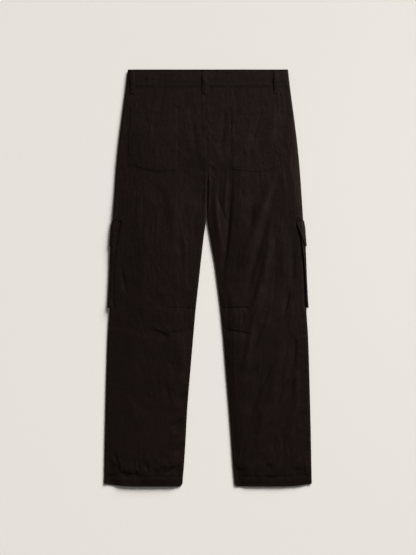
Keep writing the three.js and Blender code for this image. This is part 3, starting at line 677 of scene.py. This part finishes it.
def front_depth(side, x, y):
    """How far the front's outer face stands off the table or off what lies under it: its creases, where no
    pocket, placket or edge is near."""
    from_outer, from_inner = edge_distances(side, x, y)
    inside = rise(8, 26, from_outer) * rise(8, 26, from_inner)
    clear = 1 - fade(170, 200, from_outer) * rise(-110, -96, y) * fade(160, 176, y)
    clear = clear * (1 - rise(290, 310, y) * fade(34, 48, np.abs(x + 28)))
    creased = np.clip(crinkles(x, y, FRONT_SEED[side]) + 0.25, 0, 1)
    ends = rise(-528, -470, y) * fade(470, 484, y)
    return floor_of(side, x, y) + 0.8 * creased * inside * clear * ends


for side in SIDES:
    face = leg_face(side, front_rows, 5, FRONT_COLUMNS, front_depth, SEAM_HEIGHT - SEAM_GAP)
    piece = cloth_wall(f"front_leg_{side}", face, CLOTH, (0, 0, -1))
    finish_cloth(piece, f"front_panel_{side}")

# Stitching
# Black spun polyester thread, 0.5 mm thick, in lockstitches 2.6 mm long. Each stitch is a small rounded bar
# whose ends dip into the cloth.
STITCH = 2.6
STITCH_PITCH = 3.4
THREAD = 0.5
THREAD_PLY = 0.35
# How far a row lies over the cloth, and how far in from an edge it starts
THREAD_LIFT = 0.15
STITCH_INSET = 8
thread, surface = new_material("spun_polyester_thread", Roughness=0.5, Specular_IOR_Level=0.2)
surface.inputs["Base Color"].default_value = linear("#120c0b")
thread_place = add_node(thread, "UVMap", _uv_map="cloth").outputs["UV"]
twist_scale = WAVE / (THREAD_PLY * MM)
twist = add_node(
    thread, "TexWave", [("Vector", thread_place)], _bands_direction="DIAGONAL", Scale=twist_scale
)
ply = add_node(thread, "Bump", [("Height", twist.outputs["Fac"])], Strength=0.7, Distance=0.08 * MM)
thread.node_tree.links.new(ply.outputs["Normal"], surface.inputs["Normal"])


def sew(name, paths, up=1, pitch=STITCH_PITCH):
    """One mesh of stitches. Each path of points (n, 3) is walked in steps of pitch, and on each step lies a
    stitch of four rings: centre + tangent * along + THREAD / 2 * size * (side * cos + normal * sin)."""
    ring_along = np.array([-0.5, -0.28, 0.28, 0.5]) * STITCH * min(1, pitch / STITCH_PITCH)
    ring_size = np.array([0.35, 1, 1, 0.35])
    ring_drop = np.array([-0.3, 0.05, 0.05, -0.3])
    turn = np.arange(4) * math.pi / 2 + math.pi / 4
    points = []
    for path in paths:
        length = np.append(0, np.linalg.norm(np.diff(path, axis=0), axis=1).cumsum())
        stops = np.arange(pitch / 2, length[-1], pitch)
        centre, before, after = [
            np.stack([np.interp(stops + step, length, path[:, k]) for k in range(3)], axis=1)
            for step in (0, -0.8, 0.8)
        ]
        tangent = after - before
        tangent /= np.linalg.norm(tangent, axis=1, keepdims=True)
        beside = np.cross(np.array([0, 0, float(up)]), tangent)
        beside /= np.linalg.norm(beside, axis=1, keepdims=True)
        normal = np.cross(tangent, beside)
        centre, tangent, beside, normal = [v[:, None] for v in (centre, tangent, beside, normal)]
        rings = centre + tangent * ring_along[:, None] + normal * ring_drop[:, None]
        spread = THREAD / 2 * ring_size[:, None, None]
        round_it = beside * np.cos(turn)[:, None] + normal * np.sin(turn)[:, None]
        points.append((rings[:, :, None] + round_it[:, None] * spread).reshape(-1, 3))
    points = np.concatenate(points)
    ring, side_of = np.meshgrid(np.arange(3) * 4, np.arange(4), indexing="ij")
    after_side = (side_of + 1) % 4
    walls = np.stack([ring + side_of, ring + after_side, ring + 4 + after_side, ring + 4 + side_of], axis=-1)
    one = np.concatenate([walls.reshape(-1, 4), [[3, 2, 1, 0], [12, 13, 14, 15]]])
    faces = (np.arange(len(points) // 16)[:, None, None] * 16 + one).reshape(-1, 4)
    along_it, round_uv = np.meshgrid(ring_along, np.arange(4) * THREAD, indexing="ij")
    one_uv = np.stack([along_it.ravel(), round_uv.ravel()], axis=1)
    piece = fill_mesh(name, points, faces, np.tile(one_uv, (len(points) // 16, 1)))
    piece.data.materials.append(thread)
    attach(piece, "root")
    return piece


def back_path(side, x, y):
    """A row of stitches just over the back panel."""
    return points_at(x, y, back_height(side, x, y) + THREAD_LIFT)


for side, sign in SIDES.items():
    paths = []
    for row in HEM_ROWS:
        y = np.full(160, float(HEM_STITCH + row))
        outer, inner = outer_edge(side, y), inner_edge(side, y)
        x = np.linspace(outer[0] - sign * STITCH_INSET, inner[0] + sign * STITCH_INSET, 160)
        path = back_path(side, x, y)
        path[:, 1] += hem_rise((x - outer) / (inner - outer), y, np.abs(x - inner))
        paths.append(path)
    for level, slope in zip(DARTS["level"], DARTS["slope"]):
        inward = np.linspace(STITCH_INSET, DART_REACH, 60)
        y = level + slope * inward + 1.6
        paths.append(back_path(side, inner_edge(side, y) + sign * inward, y))
    sew(f"stitching_leg_{side}", paths)
seam_y = np.linspace(WAISTBAND_FOOT - 3, 215, 300)
sew("stitching_seat_seam", [
    back_path("left", inner_edge("left", seam_y) - off, seam_y) for off in (1.5, FELL - 1.5)
])

# The back pockets
# Patch pockets of the same nylon with a shallow pointed foot, folded under at the edges and topstitched to
# the seat twice, with a turned hem at the mouth.
POCKET_BEND = 0.43
POCKET_OFF = 0.35
POCKET_CLOTH = 0.35
POCKET_HEM = 20
POCKET_WIDTH, POCKET_DEPTH = 125, 155
POCKET_ROWS = (1.6, 7)


def pocket_point(side, u, v):
    """A point of the pocket: u runs from the outer to the inner side, v from the mouth to the foot. It has
    crinkles of its own, small tugs beside its stitches, a turned hem and pressed edges."""
    sides = BACK_POCKETS[side]
    x = mix(mix(*sides["outer"], v), mix(*sides["inner"], v), u)
    level = mix(POCKET_MOUTH[0], POCKET_FOOT[0], v)
    share = (x - outer_edge(side, level)) / (inner_edge(side, level) - outer_edge(side, level))
    bends = [0, POCKET_BEND, 1]
    y = mix(np.interp(share, bends, POCKET_MOUTH), np.interp(share, bends, POCKET_FOOT), v)
    from_edge = np.minimum(np.minimum(u, 1 - u) * POCKET_WIDTH, (1 - v) * POCKET_DEPTH)
    from_mouth = v * POCKET_DEPTH
    own = crinkles(x, y, CRINKLE_SEED[side]) * 0.56
    tugs = 0.1 * noise((x + y) / 7, (y - x) / 9, 191) * bell(from_edge - 5, 5)
    hem = 0.1 * fade(POCKET_HEM - 6, POCKET_HEM, from_mouth) - 0.08 * bell(from_mouth - POCKET_HEM, 1.5)
    press = -0.2 * fade(0, 2.5, from_edge)
    relief = np.maximum(own + tugs, -0.35) + hem + press + 0.15
    return points_at(x, y, back_height(side, x, y) + POCKET_OFF + POCKET_CLOTH + relief)


for side in SIDES:
    v, u = np.meshgrid(np.linspace(0, 1, 74), np.linspace(0, 1, 60), indexing="ij")
    piece = cloth_wall(f"seat_pocket_{side}", pocket_point(side, u, v), POCKET_CLOTH, (0, 0, 1))
    line = np.linspace(0, 1, 120)
    edges = []
    for inset in POCKET_ROWS:
        across, down = inset / POCKET_WIDTH, inset / POCKET_DEPTH
        edges += [
            pocket_point(side, np.full(120, across), line * (1 - down)),
            pocket_point(side, np.full(120, 1 - across), line * (1 - down)),
            pocket_point(side, mix(across, 1 - across, line), np.full(120, 1 - down)),
        ]
    edges.append(pocket_point(side, line, np.full(120, POCKET_HEM / POCKET_DEPTH)))
    seams = sew(f"stitching_seat_pocket_{side}", [edge + np.array([0, 0, THREAD_LIFT]) for edge in edges])
    finish_cloth(piece, f"back_pocket_{side}")

# The waistband
# A straight band folded double along the top, with one length behind and two in front that meet over the fly.
# Two rows of stitches hold its foot and one runs under the top fold.
BAND_CLOTH = 1.4
BAND_HEIGHT = LAYER + 4.8
BAND_STITCHES = (490, 498, 527)
BAND_COLUMNS = 200
FRONT_BAND_COLUMNS = 60
# The top fold is a quarter round, so the last five levels rise with the sine
TOP_ROUND = 1.6
fold_start = HALF_LENGTH - TOP_ROUND
round_levels = fold_start + TOP_ROUND * np.sin(np.radians(np.linspace(18, 90, 5)))
band_levels = np.append(np.linspace(WAISTBAND_FOOT, fold_start, 32), round_levels)
fold_drop = TOP_ROUND * (1 - np.sqrt(1 - ((band_levels - fold_start) / TOP_ROUND).clip(0, 1) ** 2))[:, None]


def band_height(x, y):
    """Upper face of the band: nearly flat, with channels along its stitches and ripples between them."""
    ripple = 0.14 * noise(x / 8, y / 22, 211) + 0.3 * noise(x / 46, y / 8, 217)
    channels = sum(bell(y - row, 1.4) for row in BAND_STITCHES)
    low_lip = -0.5 * fade(WAISTBAND_FOOT, WAISTBAND_FOOT + 2, y)
    return BAND_HEIGHT + ripple * rise(WAISTBAND_FOOT, 496, y) - 0.2 * channels + low_lip


band_y = band_levels[:, None]
band_middle = 510.0
roll = np.linspace(0, math.pi / 2, 6)
left_x = -outer_edge("right", band_y) + ROLL * (1 - np.cos(roll))
middle = np.linspace(0, 1, BAND_COLUMNS + 2)[1:-1]
x = np.concatenate([left_x, mix(left_x[:, -1:], -left_x[:, -1:], middle), -left_x[:, ::-1]], axis=1)
turned = np.sin(np.concatenate([roll, np.full(BAND_COLUMNS, math.pi / 2), roll[::-1]]))
z = mix(LAYER + SEAM_HEIGHT, band_height(x, band_y), turned) - fold_drop * turned
band_back = cloth_wall("band_back", points_at(x, band_y, z), BAND_CLOTH, (0, 0, 1))
ends = outer_edge("right", band_middle) - STITCH_INSET
span = np.linspace(-ends, ends, 500)
rows = [points_at(span, row, band_height(span, row) + THREAD_LIFT) for row in BAND_STITCHES]
seams = sew("stitching_band_back", rows)
finish_cloth(band_back, "waistband_back")
for side, sign in SIDES.items():
    outer, inner = outer_edge(side, band_y), inner_edge(side, band_y)
    rolled = outer - sign * ROLL * (1 - np.cos(roll))
    steps = np.linspace(0, 1, FRONT_BAND_COLUMNS + 1)[1:]
    x = np.concatenate([rolled, mix(rolled[:, -1:], inner, steps)], axis=1)
    turned = np.sin(np.append(roll, np.full(FRONT_BAND_COLUMNS, math.pi / 2)))
    under = LAYER + 0.35 * (1 + noise(x / 11, band_y / 15, 231)) * rise(8, 20, np.abs(x - outer))
    z = mix(LAYER + SEAM_HEIGHT - SEAM_GAP, under + fold_drop, turned)
    piece = cloth_wall(f"band_front_{side}", points_at(x, band_y, z), BAND_CLOTH, (0, 0, -1))
    far_end = inner_edge(side, band_middle) + sign * 2
    span = np.linspace(outer_edge(side, band_middle) - sign * STITCH_INSET, far_end, 250)
    rows = [points_at(span, row, LAYER + 0.1) for row in BAND_STITCHES]
    seams = sew(f"stitching_band_front_{side}", rows, up=-1)
    finish_cloth(piece, f"waistband_front_{side}")

# The belt loops
# Strips folded in three and edge-stitched, bar-tacked at the top of the band and just below it. The ones
# behind bow up a little in the middle, and the ones in front are pressed flat by the garment.
LOOP_WIDTH = 13
LOOP_TOP, LOOP_FOOT = 530, 471
LOOP_CLOTH = 1.0
BACK_LOOPS = {"left": -193, "centre": -9, "right": 173.6}
FRONT_LOOPS = {"left": -119, "right": 101}
# The edge stitches' distance from the middle, the bar tacks' levels and half width, and the tighter pitch
LOOP_ROWS = (-4.7, 4.7)
TACKS = (LOOP_TOP - 2, LOOP_TOP - 3.2, LOOP_FOOT + 3.6, LOOP_FOOT + 2.4)
TACK_HALF = 5.6
TACK_PITCH = 2.4


def loop_height(y):
    """Upper face of a back loop along its length: on the band, bowed off it, and down on the panel below."""
    t = (LOOP_TOP - y) / (LOOP_TOP - LOOP_FOOT)
    bow = 1.5 * rise(0.08, 0.35, t) * fade(0.45, 0.8, t)
    return BAND_HEIGHT + SEAM_GAP + LOOP_CLOTH + bow - 0.5 * rise(0.76, 0.9, t)


loop_y = np.linspace(LOOP_TOP, LOOP_FOOT, 44)[:, None]
loop_v = np.linspace(-1, 1, 15)[None, :]
bow_in = 1 - 0.06 * bell(loop_y - 500, 18)
for name, middle_x in BACK_LOOPS.items():
    x = middle_x + loop_v * LOOP_WIDTH / 2 * bow_in
    edge = 0.55 * np.abs(loop_v) ** 6 + 0.12 * bell(np.abs(loop_v) - 0.72, 0.1)
    z = loop_height(loop_y) - edge + 0.12 * noise(x / 4, loop_y / 7, 241)
    piece = cloth_wall(f"loop_back_{name}", points_at(x, loop_y, z), LOOP_CLOTH, (0, 0, 1))
    line = np.linspace(LOOP_TOP - 1, LOOP_FOOT + 1, 60)
    rows = [points_at(middle_x + off, line, loop_height(line) + 0.05) for off in LOOP_ROWS]
    cross = np.linspace(middle_x - TACK_HALF, middle_x + TACK_HALF, 20)
    bars = [points_at(cross, bar, loop_height(bar) + 0.1) for bar in TACKS]
    seams = sew(f"stitching_loop_back_{name}", rows + bars, pitch=TACK_PITCH)
    finish_cloth(piece, f"belt_loop_back_{name}")
for name, middle_x in FRONT_LOOPS.items():
    face = points_at(middle_x + loop_v * LOOP_WIDTH / 2, loop_y, 0.4 * np.abs(loop_v) ** 6)
    piece = cloth_wall(f"loop_front_{name}", face, LOOP_CLOTH, (0, 0, -1))
    finish_cloth(piece, f"belt_loop_front_{name}")

# The cargo pockets and their flaps
# Bags of the same nylon on the side seams, mostly under the front. They wrap round the edge of the leg and
# show a narrow lip on the back. The flap is stitched to the leg above the bag and hangs over its mouth.
CARGO_REACH = 150
FLAP_REACH = 158
CARGO_WALL = 0.8
CARGO_SEED = {"left": 251, "right": 271}
# How far the bag stands off the panels, how high its lip lies on the back, and its foot's lift
CARGO_OFF = SEAM_GAP + 1.2
LIP_HEIGHT = {"left": 3.4, "right": 8.0}
FOOT_LIFT = {"left": 2.6, "right": 0.6}
# How much further the flap's foot stands off, what its lip rises more, and the levels of its stitches
FLAP_STAND = 1.5
FLAP_PROUD = {"left": 0, "right": 1.0}
FLAP_STITCHES = (143.5, 138, 133)


def wrap_point(side, y, t, rows, reach, off, puckers, proud=0):
    """A point of a wall that wraps round the leg's edge: t runs from -1 at the lip on the back, through 0 at
    the outermost line, to 1 at its reach under the front. x follows the cosine and z the sine of the round.
    off is how far it stands off the panels, and proud is what the lip rises more."""
    sign = SIDES[side]
    edge = outer_edge(side, y)
    inward = np.where(t < 0, along(rows, side, y) * t**2, reach * np.abs(t) ** 3)
    cosine = np.clip(1 - inward / ROLL, 0, 1)
    sine = np.sqrt(1 - cosine**2)
    seam = floor_of(side, edge, y) + SEAM_HEIGHT
    stand = off + puckers * rise(0, 0.25, np.abs(t)) * (t < 0) * rise(0, 0.3, 1 + t)
    stand = stand + FOOT_LIFT[side] * fade(-76, -50, y) + proud
    out = (ROLL + off + along(rows, "swell", y)) * cosine - ROLL
    x = edge + sign * np.where(inward < ROLL, out, -inward)
    z = seam + sine * np.where(t < 0, LIP_HEIGHT[side] - SEAM_HEIGHT + stand, -SEAM_HEIGHT - off)
    lifted = np.where(t > 0.35, np.abs(puckers) * rise(0.35, 0.6, t) * fade(0.9, 1, t) * 0.6, 0)
    return points_at(x, y, z + lifted)


def flap_stand(side, y):
    """How far the flap stands off at a level and how proud its lip is: both grow to its foot."""
    hang = fade(128, 146, y)
    return CARGO_OFF + FLAP_STAND * hang, FLAP_PROUD[side] * hang


t = np.concatenate([np.linspace(-1, 0, 22)[:-1], np.linspace(0, 1, 60)])[None, :]
bag_y = np.linspace(CARGO["y"][-1], CARGO["y"][0], 100)[:, None]
flap_y = np.linspace(FLAP["y"][-1], FLAP["y"][0], 44)[:, None]
for side in SIDES:
    seed = CARGO_SEED[side]
    puckers = 0.7 * noise(bag_y / 9, t * 3, seed) + 0.3 * noise(bag_y / 4, t * 6, seed + 1)
    bag = wrap_point(side, bag_y, t, CARGO, CARGO_REACH, CARGO_OFF, puckers)
    piece = cloth_wall(f"cargo_bag_{side}", bag, CARGO_WALL, (0, 0, -1))
    finish_cloth(piece, f"cargo_pocket_{side}")
    puckers = 0.6 * noise(flap_y / 8, t * 3, seed + 2) * fade(134, 140, flap_y)
    off, proud = flap_stand(side, flap_y)
    cover = wrap_point(side, flap_y, t, FLAP, FLAP_REACH, off, puckers, proud)
    piece = cloth_wall(f"cargo_cover_{side}", cover, CARGO_WALL, (0, 0, -1))
    lip = np.linspace(-0.96, -0.35, 30)
    lines = []
    for level in FLAP_STITCHES:
        off, proud = flap_stand(side, level)
        lines.append(wrap_point(side, level, lip, FLAP, FLAP_REACH, off + 0.12, 0 * lip, proud))
    seams = sew(f"stitching_cargo_cover_{side}", lines)
    finish_cloth(piece, f"cargo_flap_{side}")

# The fly and the stud
# A plain placket along the centre front, topstitched in a curve, and the painted brass cap of the press stud
# that closes the waist. Both lie under the garment.
FLY = {"x": -9, "width": 38, "top": 486, "foot": 312, "corner": 30}
v, u = np.meshgrid(np.linspace(0, 1, 70), np.linspace(0, 1, 18), indexing="ij")
y = mix(FLY["top"], FLY["foot"], v)
into_corner = np.clip((FLY["foot"] + FLY["corner"] - y) / FLY["corner"], 0, 1)
width = FLY["width"] * np.sqrt(np.clip(1 - into_corner**2, 0.0004, 1))
x = FLY["x"] - u * width
piece = cloth_wall("placket", points_at(x, y, 0), CLOTH, (0, 0, -1))
corner = into_corner[:, -1]
curve = points_at(x[:, -1] + 4 * (1 - corner) + 2, y[:, -1] + 3 * corner, 0.05)
seams = sew("stitching_placket", [curve[:-3]], up=-1)
finish_cloth(piece, "fly_placket")

# Stamped brass with black paint: a dark satin skin with fine grain, turned from a profile
STUD = {"x": -24, "y": 509}
PAINT_GRAIN = 0.5
brass, surface = new_material("painted_brass", Roughness=0.38, Metallic=0.0, Specular_IOR_Level=0.5)
surface.inputs["Base Color"].default_value = linear("#1c1a1a")
object_place = add_node(brass, "TexCoord").outputs["Object"]
grain = add_node(brass, "TexNoise", [("Vector", object_place)], Scale=1 / (PAINT_GRAIN * MM), Detail=2.0)
paint = add_node(brass, "Bump", [("Height", grain.outputs["Fac"])], Strength=0.3, Distance=0.05 * MM)
brass.node_tree.links.new(paint.outputs["Normal"], surface.inputs["Normal"])
SPOKES = 72
rim = np.array([(7.9, 1.2), (8, 1), (8, 0.6), (7.6, 0.2), (6.9, 0), (6.2, 0.1), (5.8, 0.35), (4, 0.3)])
turn = np.arange(SPOKES) * 2 * math.pi / SPOKES
rings = np.stack([rim[:, :1] * np.cos(turn), rim[:, :1] * np.sin(turn), rim[:, 1:] + 0 * turn], axis=2)
points = np.concatenate([rings.reshape(-1, 3), [[0, 0, 1.2], [0, 0, 0.25]]]) + [STUD["x"], STUD["y"], 0]
first, spoke = np.meshgrid(np.arange(len(rim) - 1) * SPOKES, np.arange(SPOKES), indexing="ij")
after = (spoke + 1) % SPOKES
last = (len(rim) - 1) * SPOKES
triangles = [
    (first + spoke, first + SPOKES + spoke, first + SPOKES + after),
    (first + spoke, first + SPOKES + after, first + after),
    (np.full(SPOKES, len(points) - 2), spoke[0], after[0]),
    (np.full(SPOKES, len(points) - 1), last + after[0], last + spoke[0]),
]
faces = np.concatenate([np.stack(three, axis=-1).reshape(-1, 3) for three in triangles])
cap = fill_mesh("stud_cap", points, faces, points[:, :2])
cap.data.materials.append(brass)
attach(cap, "root")
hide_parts("waist_stud")

# The table and the light
# A pale matt board in an even white room. A low sun from the upper right lights the cloth's colour, a softbox
# beyond that corner shows in its gloss alone, and a weak lamp on the right evens the board.
BOARD = 24
BOARD_LEVEL = -0.4
board = bpy.data.meshes.new("table_board")
corners = [(-1, -1), (1, -1), (1, 1), (-1, 1)]
board.from_pydata([(BOARD * a, BOARD * b, BOARD_LEVEL * MM) for a, b in corners], [], [(0, 1, 2, 3)])
board_object = add_object("table_board", board)
board_material, board_surface = new_material("matt_board", Roughness=0.9, Specular_IOR_Level=0.1)
board_surface.inputs["Base Color"].default_value = linear("#e6e1db")
board.materials.append(board_material)

SUN_FROM = (0.52, 0.85)
SUN_TILT = math.radians(68)
SUN_WIDTH = math.radians(28)
SUN_STRENGTH = 6.95
sun = add_object("soft_lamp", bpy.data.lights.new("soft_lamp", "SUN"))
sun.data.energy = SUN_STRENGTH
sun.data.angle = SUN_WIDTH
towards = Vector((*[-part * math.sin(SUN_TILT) for part in SUN_FROM], -math.cos(SUN_TILT)))
sun.rotation_euler = towards.to_track_quat("-Z", "Y").to_euler()
sun.visible_glossy = False


def area_lamp(name, size, energy, location):
    """A square lamp that faces the middle of the garment. Its size is in metres and its energy in watts."""
    lamp = add_object(name, bpy.data.lights.new(name, "AREA"))
    lamp.data.size = size
    lamp.data.energy = energy
    lamp.location = location
    lamp.rotation_euler = (-lamp.location).to_track_quat("-Z", "Y").to_euler()
    return lamp


area_lamp("softbox", size=1.3, energy=62, location=(1.85, 1.2, 1.65)).visible_diffuse = False
area_lamp("fill_lamp", size=0.8, energy=2.2, location=(1.2, 0.35, 1.2)).visible_glossy = False
ROOM_LIGHT = 0.14
room = bpy.data.worlds.new("room")
room.use_nodes = True
room.node_tree.nodes["Background"].inputs["Color"].default_value = linear("#fffdfb")
room.node_tree.nodes["Background"].inputs["Strength"].default_value = ROOM_LIGHT
bpy.context.scene.world = room
bpy.context.scene.view_settings.view_transform = "Standard"
